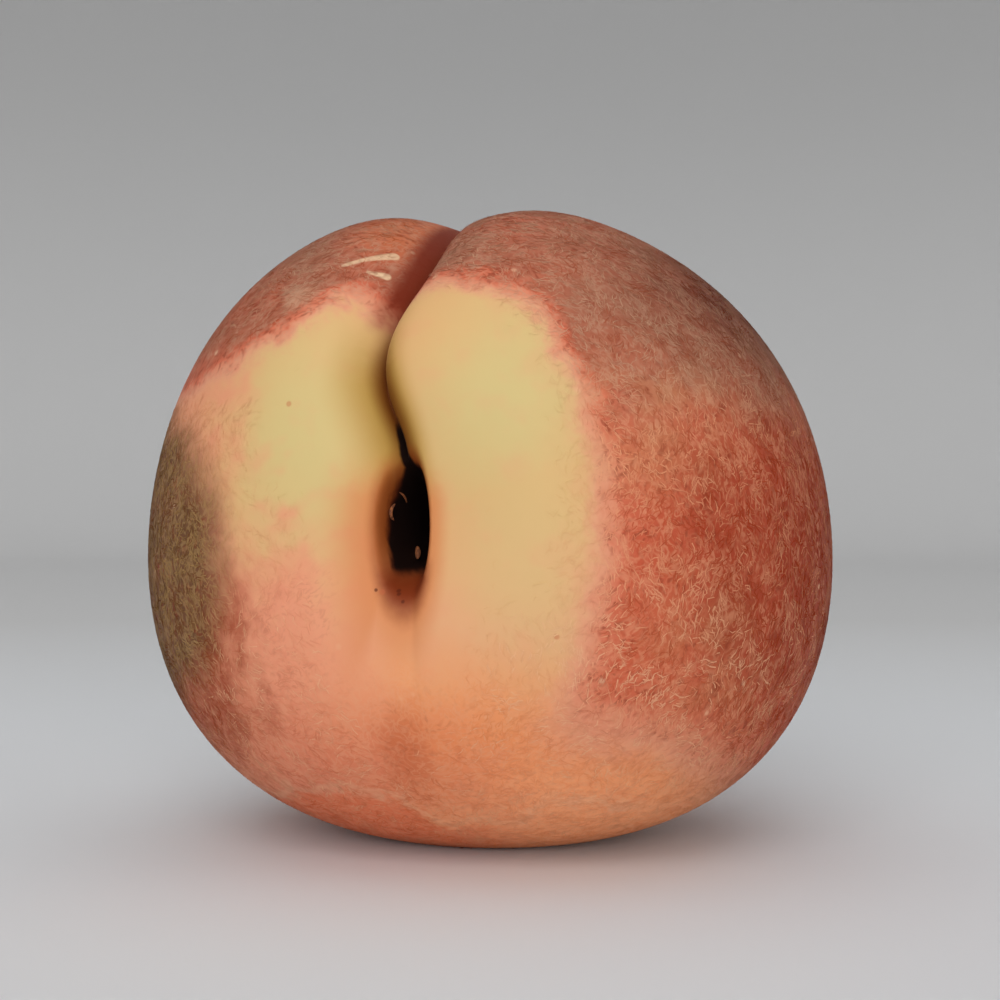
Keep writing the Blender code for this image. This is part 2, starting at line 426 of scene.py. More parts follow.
class Wire:
    """One output in a material, so that shader maths on values reads as plain expressions."""

    def __init__(self, tree, socket=None):
        self.tree = tree
        self.socket = socket

    def node(self, kind, settings, feeds, output=0):
        """Add a node: its settings first, then the values or links of its sockets."""
        made = self.tree.nodes.new(kind)
        for name, value in settings.items():
            if name == "stops":
                self.set_stops(made.color_ramp, value)
            else:
                setattr(made, name, value)
        for name, value in feeds.items():
            if isinstance(value, Wire):
                self.tree.links.new(value.socket, made.inputs[name])
            else:
                made.inputs[name].default_value = value
        return Wire(self.tree, made.outputs[output])

    def set_stops(self, ramp, stops):
        """Give a colour ramp its stops, each a position and a colour."""
        while len(ramp.elements) < len(stops):
            ramp.elements.new(0.5)
        for element, (position, colour) in zip(ramp.elements, stops):
            element.position = position
            element.color = solid(colour)

    def math(self, operation, other=0.0):
        """One Math node on this value."""
        return self.node("ShaderNodeMath", {"operation": operation}, {0: self, 1: other})

    def __add__(self, other):
        return self.math("ADD", other)

    __radd__ = __add__

    def __sub__(self, other):
        return self.math("SUBTRACT", other)

    def __rsub__(self, other):
        return self.node("ShaderNodeMath", {"operation": "SUBTRACT"}, {0: other, 1: self})

    def __mul__(self, other):
        return self.math("MULTIPLY", other)

    __rmul__ = __mul__

    def __truediv__(self, other):
        return self.math("DIVIDE", other)

    def __neg__(self):
        return self.math("MULTIPLY", -1.0)

    def __abs__(self):
        return self.math("ABSOLUTE")

    def most(self, other):
        """The larger of this value and the other."""
        return self.math("MAXIMUM", other)

    def least(self, other):
        """The smaller of this value and the other."""
        return self.math("MINIMUM", other)

    def vector(self, operation, other=(0.0, 0.0, 0.0), output=0):
        """One Vector Math node on this vector."""
        return self.node("ShaderNodeVectorMath", {"operation": operation}, {0: self, 1: other}, output)

    def scaled(self, factor):
        """This vector times a number."""
        return self.node("ShaderNodeVectorMath", {"operation": "SCALE"}, {0: self, "Scale": factor})

    def length(self):
        """The length of this vector, as a value."""
        return self.vector("LENGTH", output=1)

    def part(self, index):
        """One of this vector's three parts, as a value."""
        return self.node("ShaderNodeSeparateXYZ", {}, {0: self}, index)

    def stirred(self, size, amount, detail=2.0, roughness=0.5):
        """This vector, shifted by up to about this amount by noise of this size."""
        shift = self.noise(size, detail, roughness, output=1).vector("SUBTRACT", (0.5, 0.5, 0.5))
        return self.vector("ADD", shift.scaled(2.0 * amount))

    def spot(self, centre, radii, inner, outer):
        """1 within an oval round this place, and 0 outside it. A radius of None leaves that part out."""
        scale = tuple(1.0 / radius if radius else 0.0 for radius in radii)
        return self.vector("SUBTRACT", centre).vector("MULTIPLY", scale).length().rise(outer, inner)

    def stroke(self, start, end, width):
        """1 within a stroke that widens to this much on either side at its end."""
        span = Vector(end) - Vector(start)
        off = self.vector("SUBTRACT", start)
        part = off.vector("DOT_PRODUCT", tuple(span / span.length_squared), 1).most(0.0).least(1.0)
        along = self.node("ShaderNodeVectorMath", {"operation": "SCALE"}, {0: tuple(span), "Scale": part})
        return (off.vector("DISTANCE", along, 1) - (part * 0.6 + 0.4) * width).rise(0.16, -0.12)

    def rise(self, low, high):
        """0 below low, 1 above high, and a smooth rise between. It falls where low is above high."""
        settings = {"interpolation_type": "SMOOTHSTEP"}
        if low < high:
            return self.node("ShaderNodeMapRange", settings, {0: self, 1: low, 2: high})
        return self.node("ShaderNodeMapRange", settings, {0: self, 1: high, 2: low, 3: 1.0, 4: 0.0})

    def between(self, first, second):
        """The first colour where this value is 0, and the second where it is 1."""
        feeds = {0: self, 6: solid(first), 7: solid(second)}
        return self.node("ShaderNodeMix", {"data_type": "RGBA"}, feeds, 2)

    def mixed(self, colour, mask):
        """This colour where the mask is 0, and the other where it is 1."""
        other = colour if isinstance(colour, Wire) else solid(colour)
        return self.node("ShaderNodeMix", {"data_type": "RGBA"}, {0: mask, 6: self, 7: other}, 2)

    def noise(self, size, detail=2.0, roughness=0.5, output=0):
        """Soft noise over this vector, with lumps of about this size in its units."""
        feeds = {"Vector": self, "Scale": 1.0 / size, "Detail": detail, "Roughness": roughness}
        return self.node("ShaderNodeTexNoise", {}, feeds, output)


def new_material(name):
    """An empty material with its shader, and a first wire to build on."""
    material = bpy.data.materials.new(name)
    material.use_nodes = True
    tree = material.node_tree
    return material, tree.nodes["Principled BSDF"], Wire(tree)


def finished(material, shader, colour, roughness, shine):
    """Give the material its colour, its roughness and how much it shines."""
    material.node_tree.links.new(colour.socket, shader.inputs["Base Color"])
    shader.inputs["Roughness"].default_value = roughness
    shader.inputs["Specular IOR Level"].default_value = shine
    return material


def place_on_fruit(wire, middle):
    """The place from the middle of the fruit, in millimetres."""
    spot = wire.node("ShaderNodeTexCoord", {}, {}, "Object")
    return spot.vector("SUBTRACT", tuple(middle)).scaled(1.0 / MM)


def blush_masks(ray):
    """How far a direction is on the -X half and on the back, and how blushed the skin is on either half."""
    across, along, up = (ray.part(index) for index in range(3))
    left = across.rise(0.03, -0.13)
    back = along.rise(-0.05, 0.40)

    # On the +X half the blush lies outside an oval round the cavity. Its edge is wide at the cheek.
    oval = ray.vector("SUBTRACT", BLUSH_MIDDLE).vector("MULTIPLY", BLUSH_STRETCH).length()
    width = 0.23 - up.rise(0.15, 0.50) * 0.11
    right_blush = ((oval - 1.05) / width).rise(-1.0, 1.0)
    fade = (-up).rise(0.32, 0.66) * (1.0 - across.rise(0.56, 0.88))
    right_blush = right_blush * (1.0 - fade * 0.85)

    # On the -X half it lies over the crown only, down to a sharp edge.
    reach = abs(across)
    level, slope, curve = CROWN_EDGE
    edge = (reach * reach * curve - reach * slope + level).least(CROWN_EDGE_TOP)
    left_blush = (up - edge).rise(-0.075, 0.075)
    return across, up, left, back, right_blush, left_blush


def ground_colour(ragged, up, left, back, mottle, colours):
    """Unblushed skin: tan by the cavity, paler in the middle of each lobe, pink and orange lower down, the
    orange and the underside painted lighter as light from below.
    """
    across = ragged.part(0)
    # Painted light: the orange and underside stops are lighter than the skin, standing in for light from
    # below.
    stops = ((0.12, colours.underside), (0.22, colours.orange), (0.36, colours.peach), (0.55, colours.tan))
    skin = up.node("ShaderNodeValToRGB", {"stops": stops}, {0: up * 0.5 + 0.5})
    pale = ragged.spot(*PALE_SPOT_LEFT)
    pale = pale.most(ragged.spot(*PALE_SPOT_RIGHT))
    pale = pale.most(ragged.spot(*PALE_SPOT_CHEEK) * 0.5)
    skin = skin.mixed(colours.pale, pale * (1.0 - back) * 0.9)
    pink = (-up + (mottle - 0.5) * 0.8 - across * 0.15).rise(-0.10, 0.36) * left
    pink = pink * ((-across).rise(0.05, 0.38) * 0.45 + 0.5)
    edge = (-across + (mottle - 0.5) * 0.35).rise(0.36, 0.68) * (1.0 - back) * 0.8
    skin = skin.mixed(colours.flush, (pink.most(edge) * 0.9).least(1.0))
    skin = skin.mixed(colours.flush, mottle.rise(0.50, 0.72) * 0.16)
    low = (-up).rise(0.40, 0.66) * (1.0 - abs(across + 0.12).rise(0.15, 0.52)) * up.rise(-0.90, -0.70)
    skin = skin.mixed(colours.coral, low * 0.50)
    return skin.mixed(colours.trail, ragged.spot(*TRAIL_SPOT) * 0.6)


def skin_colour(place, colours):
    """Colour of the skin at this place, how much matted down covers it, and how high it lies."""
    ray = place.vector("NORMALIZE")
    ragged = ray.stirred(0.20, 0.045, 1.0).stirred(0.045, 0.030, 2.0, 0.65)
    across, up, left, back, right_blush, left_blush = blush_masks(ragged)
    mottle = place.noise(4.5, 2.0, 0.6)
    patches = place.noise(9.0, 1.0, 0.5)
    skin = ground_colour(ragged, up, left, back, mottle, colours)

    # Blush: a coral fringe at its edge, red beyond it, and a dulled veil of down over both crowns.
    behind = (up * 0.35 + across * 0.30 + 0.62 + (patches - 0.5) * 0.8).rise(0.0, 1.0)
    front = right_blush + (left_blush - right_blush) * left
    blush = front + (behind - front) * back
    skin = skin.mixed(colours.fringe, blush.rise(0.02, 0.50) * 0.9)
    skin = skin.mixed(colours.coral, blush.rise(0.30, 0.85))
    full = (blush.rise(0.60, 1.0) * (mottle * 1.7 - 0.15)).least(1.0).most(0.0)
    skin = skin.mixed(colours.red, full)
    deep = across.rise(0.55, 0.85) * (patches * 1.6 + 0.1) * up.rise(-0.62, -0.25)
    skin = skin.mixed(colours.brick, deep.least(1.0).most(0.0))
    warm = ragged.spot(*WARM_SPOT)
    skin = skin.mixed(colours.copper, warm * left * 0.7)
    veil = (up + across * 0.10).rise(0.22, 0.50) * blush.rise(0.7, 1.0) * (1.0 - warm * left)
    skin = skin.mixed(colours.veil, veil * (patches * 1.1 + 0.15).least(1.0))
    dusk = ragged.spot(*DUSK_SPOT)
    skin = skin.mixed(colours.dusk, dusk * (mottle * 0.5 + 0.55))
    rubbed = ragged.spot(*RUBBED_SPOT_HIGH).most(ragged.spot(*RUBBED_SPOT_LOW) * 0.7)
    skin = skin.mixed(colours.rubbed, rubbed * (mottle * 3.0 - 0.9).least(1.0).most(0.0) * 0.38)

    # The -X cheek: a brown patch half way up, and rust red below it.
    rust = (-across + (mottle - 0.5) * 0.3).rise(0.36, 0.58) * (-up).rise(0.04, 0.26) * up.rise(-0.74, -0.48)
    rust = rust.most(back * across.rise(-0.2, -0.6) * patches.rise(0.25, 0.70) * up.rise(-0.8, -0.5) * 0.7)
    skin = skin.mixed(colours.rust, rust * (mottle * 1.2 + 0.30).least(1.0))
    patch = ragged.spot(*BROWN_PATCH) * (1.0 - back * 0.5)
    skin = skin.mixed(colours.olive, patch * (mottle * 0.5 + 0.72).least(1.0))

    # Worn line low on the front, paler than the skin, and redder skin below it.
    dip = across.rise(-0.12, 0.04) * across.rise(0.40, 0.16)
    line = up + 0.715 + dip * 0.095 + (mottle - 0.5) * 0.05 + (ragged.noise(0.03, 2.0) - 0.5) * 0.03
    facing = (1.0 - back) * abs(across).rise(0.62, 0.46)
    skin = skin.mixed(colours.blaze, line.rise(0.0, -0.05) * (1.0 - back) * across.rise(0.30, -0.05) * 0.8)
    worn = line.rise(-0.025, 0.0) * line.rise(0.022, 0.004) * facing * mottle
    skin = skin.mixed(colours.scuff, worn * 0.5)
    matted = place.spot(*MATTED_SPOT) * patches.rise(0.3, 0.6)
    skin = skin.mixed(colours.scuff, matted * 0.35)
    for start, end, width in SCRAPES:
        skin = skin.mixed(colours.scrape, place.stroke(start, end, width) * (mottle * 0.6 + 0.5))
    faint = (-up).rise(0.0, 0.25) * (-across).rise(0.06, 0.30).most((-up).rise(0.30, 0.55)) * 0.55
    downy = blush.rise(0.03, 0.75).most(patch).most(rust * 0.7).most(faint) * (1.0 - dusk * 0.45)
    return skin, downy, patch, up


def near(place, spots, radius):
    """1 close to any of these places on the front, given in millimetres across and up."""
    flat = place.vector("MULTIPLY", (1.0, 0.0, 1.0))
    front = place.part(1).rise(0.0, -1.0)
    inside = None
    for across, up in spots:
        found = flat.vector("DISTANCE", (across, 0.0, up), 1).rise(radius, radius * 0.5)
        inside = found if inside is None else inside.most(found)
    return inside * front


def stored(wire, name):
    """The number that each vertex holds under this name."""
    return wire.node("ShaderNodeAttribute", {"attribute_name": name}, {}, "Fac")


def lip_colour(skin, up, beside, hollow, front, colours):
    """Skin colour with the crease and its lips: olive low down and deep red between the crowns, partly the
    skin's own colour and partly painted shade, deepest where the crease is deepest.
    """
    high = up.rise(0.56, 0.70)
    low = (1.0 - high) * up.rise(-0.02, 0.14) * front
    # Olive and brown lips: partly their own colour, partly painted shade where they fall into the crease.
    lips = beside.rise(-6.0, -0.8) * 0.85 * beside.rise(4.6, 1.6)
    skin = skin.mixed(colours.lip_olive_and_shade, lips * low * up.rise(0.66, 0.40) * 0.95)
    inner = beside.rise(-1.9, 0.1) * beside.rise(3.0, 0.9)
    skin = skin.mixed(colours.crease, inner * low * up.rise(0.60, 0.40) * 0.85)
    # Painted shade: browner as the crease gets deeper.
    skin = skin.mixed(colours.crease, hollow.rise(3.4, 6.0) * (1.0 - high) * front)
    # Deep red low in the crease between the crowns: partly painted shade.
    between_crowns = beside.rise(-3.5, -1.6) * beside.rise(1.6, 0.4)
    skin = skin.mixed(colours.ember_and_shade, between_crowns * high * (front * 0.6 + 0.35))
    # Painted shade: the scar colour where the crease lies deepest, by the cavity.
    return skin.mixed(colours.scar, hollow.rise(4.2, 6.6) * 0.9)


def cavity_colour(wire, skin, place, up, colours):
    """Skin colour with the lips of the crease, the rim of the cavity and the dry skin inside, painted darker
    as shade towards the hole.
    """
    beside, hollow, span = (stored(wire, name) for name in ("beside", "hollow", "span"))
    skin = lip_colour(skin, up, beside, hollow, place.part(1).rise(12.0, -12.0), colours)

    # Cavity: an orange rim, brown at its edge and red below it, the brown and the red partly painted shade
    # falling into the hole.
    worn = span + (place.noise(1.2, 2.0) - 0.5) * 0.10
    lower = up.rise(-0.06, -0.18)
    left = beside.rise(0.0, -2.0)
    glow = worn.rise(2.6, 1.5).most(worn.rise(3.9, 1.6) * left)
    skin = skin.mixed(colours.rim_pale, glow * up.rise(0.22, 0.06) * 0.8)
    skin = skin.mixed(colours.ember_and_shade, worn.rise(1.85, 1.20) * lower)
    rim_and_shade = worn.rise(1.55, 1.10).most(worn.rise(1.9, 1.1) * left)
    skin = skin.mixed(colours.rim, rim_and_shade * (1.0 - lower * 0.7))
    skin = skin.mixed(colours.scar, worn.rise(1.20, 1.10) * place.part(2).rise(-4.8, -3.8))

    # Mouth: dry skin painted near black as the shadow in the deep hole, and a painted shadow line up the
    # crease.
    height = place.part(2) + (place.noise(1.0, 1.0) - 0.5) * 0.5
    slant = abs(height - MOUTH_WAIST_HEIGHT) * MOUTH_SLANT + MOUTH_WAIST
    corner = (MOUTH_CORNER - height).most(0.0) * 0.20
    edge = (place.part(0) + slant.least(MOUTH_EDGE) - corner).rise(-0.10, 0.15)
    crease_shadow = (beside - (7.0 - height).most(0.0) * 0.35).rise(0.7, 0.2) * height.rise(2.0, 4.0)
    mouth = worn.rise(1.22, 1.12).most(crease_shadow)
    mouth = mouth * height.rise(MOUTH_BOTTOM - 0.9, MOUTH_BOTTOM + 0.3)
    mouth = mouth * height.rise(MOUTH_TOP, MOUTH_TOP - 1.5)
    return skin.mixed(colours.dry_floor_and_shadow, mouth * edge * place.part(1).rise(0.0, -1.0))


def skin_material(colours, middle):
    """Yellow ground colour round the cavity, a red blush round it, and matted down over the blush."""
    material, shader, wire = new_material("peach_skin")
    place = place_on_fruit(wire, middle)
    skin, downy, patch, up = skin_colour(place, colours)

    # Matted strands of down, in tufts, with dark gaps between them.
    turn = place.part(0).math("ARCTAN2", place.part(2)) * COMBED_RADIUS
    out = place.vector("MULTIPLY", (1.0, 0.0, 1.0)).length()
    combed = wire.node("ShaderNodeCombineXYZ", {}, {0: turn, 1: out, 2: place.part(1)})
    curls = combed.stirred(2.4, 1.1, 1.0)
    strands = abs(curls.noise(0.85, 1.0) - 0.5).rise(0.095, 0.0)
    threads = curls.noise(0.75, 2.0, 0.7).rise(0.50, 0.68)
    tufts = place.noise(2.6, 2.0, 0.6)
    gaps = curls.noise(0.6, 1.0).rise(0.54, 0.28)
    skin = skin.mixed(colours.gaps, gaps * tufts.rise(0.66, 0.34) * downy * downy * 0.70)
    strand = up.rise(0.20, 0.45).between(colours.down, colours.ash)
    tufted = (strands * 0.8).most(threads) * tufts.rise(0.28, 0.62) * downy
    skin = skin.mixed(strand, tufted * (1.0 - patch) * 0.45)
    faint = strands.most(threads) * (-up).rise(0.25, 0.60) * (1.0 - downy * 0.7)
    skin = skin.mixed(colours.scuff, faint * 0.12)
    skin = skin.mixed(colours.moss, strands.most(threads) * patch * 0.52)
    cells = place.node("ShaderNodeTexVoronoi", {}, {"Vector": place, "Scale": 1.0 / SPECK_SPACING})
    skin = skin.mixed(colours.scuff, cells.rise(0.085, 0.015) * downy * 0.55)
    skin = cavity_colour(wire, skin, place, up, colours)
    skin = skin.mixed(colours.scar, near(place, DARK_SPECKS, DARK_SPECK_RADIUS) * 0.8)
    skin = skin.mixed(colours.trail, near(place, RED_SPECKS, RED_SPECK_RADIUS) * 0.45)

    return finished(material, shader, skin, colours.roughness, SKIN_SHINE)


def paint(name, description, default):
    """A colour that a user may change."""
    return FloatVectorProperty(name=name, description=description, subtype="COLOR", default=default)


def swatch(name, description, code):
    """A colour that a user may change, with a six-figure web colour as its default."""
    return paint(name, description, tint(code))


class SkinSettings(bpy.types.PropertyGroup):
    """Fineness and finish of the skin."""

    rings: IntProperty(name="Rings", description="Rings from the cavity to the tip", default=236, min=24)
    columns: IntProperty(
        name="Columns", description="Columns about the axis, an even number", default=384, min=32
    )
    roughness: FloatProperty(
        name="Roughness", description="Roughness of the skin under its down", default=0.62, min=0.0, max=1.0
    )
    pale: swatch("Pale", "Ground colour in the middle of each lobe", "cdb97d")
    tan: swatch("Tan", "Ground colour beside the cavity", "d8ab74")
    peach: swatch("Peach", "Ground colour below the cavity", "dea478")
    # Orange and Underside are painted lighter, standing in for light from below.
    orange: swatch("Orange", "Ground colour of the underside", "ec945e")
    underside: swatch("Underside", "Ground colour beside the resting spot", "ffac76")
    dusk: swatch("Dusk", "Darkest blush, high on the +X side", "5e2c1e")
    rim_pale: swatch("Rim glow", "Skin beside the rim of the cavity", "d0804c")
    scuff: swatch("Scuff", "Pale specks and worn skin", "e8bd98")
    rubbed: swatch("Rubbed", "Blush where the down is rubbed thin", "cc9468")
    scrape: swatch("Scrape", "Pale scrapes on the -X crown", "e6c49c")
    trail: swatch("Trail", "Redder skin below the cavity", "bb5c38")
    flush: swatch("Flush", "Faint pink below the cavity, on the -X side", "e29072")
    copper: swatch("Copper", "Blush on top of the -X lobe, by the crease", "c07048")
    ash: swatch("Ash", "Matted strands on the crowns", "bd967a")
    blaze: swatch("Blaze", "Bright blush below the worn line", "e0744c")
    fringe: swatch("Fringe", "Edge of the blush", "dc9576")
    coral: swatch("Coral", "Light blush", "cd6b4e")
    red: swatch("Red", "Full blush", "ba4c2f")
    brick: swatch("Brick", "Deepest blush", "9c3a22")
    rust: swatch("Rust", "Blush low on the -X cheek", "9e4529")
    olive: swatch("Olive", "Brown patch on the -X cheek", "6a462c")
    moss: swatch("Moss", "Matted down on the brown patch", "a68455")
    veil: swatch("Veil", "Dulled colour of the crowns", "9a654d")
    down: swatch("Down", "Matted strands of down", "dc9c76")
    gaps: swatch("Gaps", "Dark gaps between the strands", "86341c")
    # Lip, Crease and Ember are partly the skin's own colour and partly painted shade in the crease.
    lip_olive_and_shade: swatch("Lip", "Skin on the lips of the crease", "ad8530")
    crease: swatch("Crease", "Skin low in the crease", "7a430e")
    ember_and_shade: swatch("Ember", "Skin low in the crease, between the crowns", "74260f")
    # Rim: skin on the rim of the cavity, partly painted shade that deepens towards the hole.
    rim: swatch("Rim", "Skin on the rim of the cavity", "9c4f1f")
    # Scar: dry skin on the cavity's wall, partly painted shade deep in the cavity and the crease; also the
    # colour of the specks.
    scar: swatch("Scar", "Skin on the cavity's wall", "5a2410")
    # Painted shadow: near black over the dry floor of the cavity's deep mouth.
    dry_floor_and_shadow: swatch("Dark", "Dry floor of the cavity", "1a0c08")


class StageSettings(bpy.types.PropertyGroup):
    """Camera, floor and lights of the studio."""

    camera_turn: FloatProperty(
        name="Camera turn", description="How far the camera stands to the +X side of the stem cavity",
        default=math.radians(15.0), subtype="ANGLE"
    )
    camera_distance: FloatProperty(
        name="Camera distance", description="From the middle of the fruit", default=0.188, unit="LENGTH"
    )
    camera_rise: FloatProperty(
        name="Camera rise", description="Above the middle of the fruit", default=0.0014, unit="LENGTH"
    )
    lens: FloatProperty(name="Lens", description="Focal length of the camera, in millimetres", default=60.0)
    shift_across: FloatProperty(
        name="Shift across", description="Sideways shift of the lens, as a part of the frame",
        default=0.0095
    )
    shift_up: FloatProperty(
        name="Shift up", description="Upward shift of the lens, as a part of the frame", default=0.010
    )
    sweep_radius: FloatProperty(
        name="Sweep radius", description="From the fruit to the foot of the pale wall",
        default=1.6, unit="LENGTH"
    )
    # Floor tones and the wall are painted shade on pale paper: darker half way out and grey up the wall.
    floor: paint("Floor", "Floor under the fruit", (0.745, 0.758, 0.775))
    middle_floor_shade: paint("Middle floor", "Floor half way to the wall", (0.675, 0.675, 0.675))
    far_floor: paint("Far floor", "Floor near the wall", (0.73, 0.73, 0.73))
    wall: paint("Wall", "Wall behind the fruit", (0.53, 0.53, 0.53))
    wall_height: FloatProperty(
        name="Wall height", description="Where the wall's own tone is reached", default=0.62, unit="LENGTH"
    )
    light_size: FloatProperty(
        name="Light size", description="Width and height of both lights", default=0.9, unit="LENGTH"
    )
    key_place: FloatVectorProperty(
        name="Key place", description="Where the large soft light stands",
        unit="LENGTH", default=(0.12, -1.10, 0.75)
    )
    key_power: FloatProperty(
        name="Key light", description="Power of the large soft light, in watts", default=6.5
    )
    front_place: FloatVectorProperty(
        name="Front place", description="Where the low front light stands",
        unit="LENGTH", default=(0.40, -1.28, 0.06)
    )
    front_power: FloatProperty(
        name="Front light", description="Power of the low front light, in watts", default=13.0
    )
    sky_strength: FloatProperty(
        name="Sky light", description="Strength of the even light all round", default=0.92
    )


class ScrapSettings(bpy.types.PropertyGroup):
    """Finish of the dry scraps in the cavity."""

    colour: swatch("Colour", "Dry, pale side of the scraps", "96562a")
    shade: swatch("Shade", "Brown streaks in the scraps", "5e3018")
    roughness: FloatProperty(
        name="Roughness", description="Roughness of the scraps", default=0.8, min=0.0, max=1.0
    )


class DownSettings(bpy.types.PropertyGroup):
    """Size and number of the hairs."""

    count: IntProperty(name="Hairs", description="Number of hairs", default=66000, min=0, max=66000)
    length: FloatProperty(
        name="Length", description="Usual length of a hair", default=0.0012, unit="LENGTH"
    )
    width: FloatProperty(name="Width", description="Usual width of a hair", default=0.00011, unit="LENGTH")
    lift: FloatProperty(
        name="Lift", description="How far a hair stands off", default=0.00004, unit="LENGTH"
    )
    seed: IntProperty(name="Seed", description="Draw of the hairs' places", default=7)


def new_mesh(name, places, faces):
    """A mesh of these places and faces."""
    mesh = bpy.data.meshes.new(name)
    mesh.from_pydata(places, [], faces)
    return mesh


def new_object(name, mesh):
    """Put a mesh in the scene as an object of this name."""
    piece = bpy.data.objects.new(name, mesh)
    bpy.context.scene.collection.objects.link(piece)
    return piece


def skin_places(settings):
    """Places of the fine skin's vertices, with the middle of the fruit."""
    places = skin(*grid_angles(settings.rings, settings.columns))
    middle = middle_of_fruit(places)
    return rest_flat(places + middle), middle


class PEACH_OT_skin(bpy.types.Operator):
    """Build the fine skin of the whole fruit, in place of its plain solid"""

    bl_idname = "peach.build_skin"
    bl_label = "Build skin"

    def execute(self, context):
        settings = context.scene.peach_skin
        places, middle = skin_places(settings)
        reaches, turns = grid_angles(settings.rings, settings.columns)
        hollow = depths(reaches, turns)[0]
        mesh = new_mesh("peach_skin", places.tolist(), grid_faces(settings.rings, settings.columns))
        add_values(mesh, "hollow", hollow / MM)
        beside, span = landmarks(reaches, turns)
        add_values(mesh, "beside", beside / MM)
        add_values(mesh, "span", span)
        mesh.shade_smooth()
        piece = new_object("peach_skin", mesh)
        mesh.materials.append(skin_material(settings, middle))
        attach(piece, "root")
        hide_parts("peach")
        return {"FINISHED"}


def sliver(start, bend, end, width, thickness):
    """Places and faces of a bent sliver with pointed ends."""
    part = np.linspace(0.0, 1.0, SCRAP_STEPS)[:, None]
    start, bend, end = (np.array(place) for place in (start, bend, end))
    line = start * (1 - part) * (1 - 2 * part) + bend * 4 * part * (1 - part) + end * part * (2 * part - 1)
    heading = np.gradient(line, axis=0)
    beside = np.cross(heading, (0.0, 1.0, 0.0))
    beside /= np.linalg.norm(beside, axis=1)[:, None]
    outward = np.cross(beside, heading)
    outward /= np.linalg.norm(outward, axis=1)[:, None]
    taper = np.sqrt(np.sin(math.pi * (0.04 + 0.92 * part)))[:, None]
    turns = math.tau * np.arange(SCRAP_SIDES) / SCRAP_SIDES
    wide = np.cos(turns)[None, :, None] * beside[:, None] * width / 2
    thick = np.sin(turns)[None, :, None] * outward[:, None] * thickness / 2
    places = (line[:, None] + (wide + thick) * taper).reshape(-1, 3)
    faces = [tuple(range(SCRAP_SIDES)), tuple(range(len(places) - 1, len(places) - SCRAP_SIDES - 1, -1))]
    for ring in range(0, len(places) - SCRAP_SIDES, SCRAP_SIDES):
        for side in range(SCRAP_SIDES):
            first = ring + side
            beyond = ring + (side + 1) % SCRAP_SIDES
            faces.append((first, first + SCRAP_SIDES, beyond + SCRAP_SIDES, beyond))
    return places, faces


def scrap_material(settings):
    """Dry brown scraps of scar, streaked and paler in places."""
    material, shader, wire = new_material("cavity_scraps")
    place = wire.node("ShaderNodeTexCoord", {}, {}, "Object").scaled(1.0 / MM)
    streaks = place.vector("MULTIPLY", (3.0, 3.0, 1.0)).noise(0.6, 3.0, 0.6)
    colour = streaks.rise(0.35, 0.65).between(settings.shade, settings.colour)
    return finished(material, shader, colour, settings.roughness, SCRAP_SHINE)


class PEACH_OT_scraps(bpy.types.Operator):
    """Stand the dry scraps of scar on the wall of the stem cavity"""

    bl_idname = "peach.build_scraps"
    bl_label = "Build scraps"

    def execute(self, context):
        middle = np.array(skin_places(context.scene.peach_skin)[1])
        places = []
        faces = []
        for scrap in SCRAPS:
            more, sides = sliver(*scrap)
            faces += [tuple(len(places) + index for index in side) for side in sides]
            places += (more * MM + middle).tolist()
        mesh = new_mesh("cavity_scraps", places, faces)
        mesh.shade_smooth()
        mesh.materials.append(scrap_material(context.scene.peach_scraps))
        piece = new_object("cavity_scraps", mesh)
        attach(piece, "root")
        return {"FINISHED"}


def waves(places, size, seed):
    """A smooth random value between about -1 and 1 at each place, with lumps of about this size."""
    rng = np.random.default_rng(seed)
    total = np.zeros(len(places))
    for _ in range(WAVE_COUNT):
        heading = rng.normal(size=3)
        heading *= math.tau / (size * rng.uniform(*WAVE_LENGTHS) * np.linalg.norm(heading))
        total += np.sin(places @ heading + rng.uniform(0.0, math.tau))
    return total * math.sqrt(2.0 / WAVE_COUNT) / WAVE_REACH


def down_density(ray):
    """How thick the down lies in each of these directions, from 0 to 1."""
    across, along, up = ray.T
    underside = 0.7 * smooth_step((-0.32 - up) / 0.25)
    oval = np.hypot((across - BLUSH_MIDDLE[0]) / BLUSH_HALF_SIZE[0], up / BLUSH_HALF_SIZE[1])
    right = np.maximum(smooth_step((oval - 0.94) / 0.24), underside)
    level, slope, curve = CROWN_EDGE
    edge = np.minimum(level - slope * np.abs(across) + curve * across ** 2, CROWN_EDGE_TOP)
    crown = smooth_step((up - edge) / 0.06)
    cheek = smooth_step((-across - 0.48) / 0.10) * smooth_step((0.24 - up) / 0.08)
    below_cheek = 0.7 * smooth_step((-across - 0.04) / 0.20) * smooth_step((-0.02 - up) / 0.25)
    left = np.maximum.reduce([crown, cheek, below_cheek, underside])
    front = np.where(across > -0.06, right, left)
    return np.where(along > 0.1, 1.0, SPARSE_DOWN + (1.0 - SPARSE_DOWN) * front)


def scatter(places, faces, bare, count, rng):
    """Random places on these four-sided faces, thickest where the blush is, with the faces' normals."""
    corners = places[faces]
    cross = np.cross(corners[:, 3] - corners[:, 1], corners[:, 2] - corners[:, 0])
    area = np.linalg.norm(cross, axis=1)
    centres = corners.mean(axis=1) - places.mean(axis=0)
    weight = area * down_density(centres / np.linalg.norm(centres, axis=1)[:, None])
    weight *= 1.0 - bare[faces].mean(axis=1)
    chosen = np.searchsorted(np.cumsum(weight) / weight.sum(), rng.uniform(size=count))
    u, v = rng.uniform(size=(2, count, 1))
    a, b, c, d = (corners[chosen, index] for index in range(4))
    spots = a * (1 - u) * (1 - v) + b * u * (1 - v) + c * u * v + d * (1 - u) * v
    return spots, cross[chosen] / area[chosen, None]


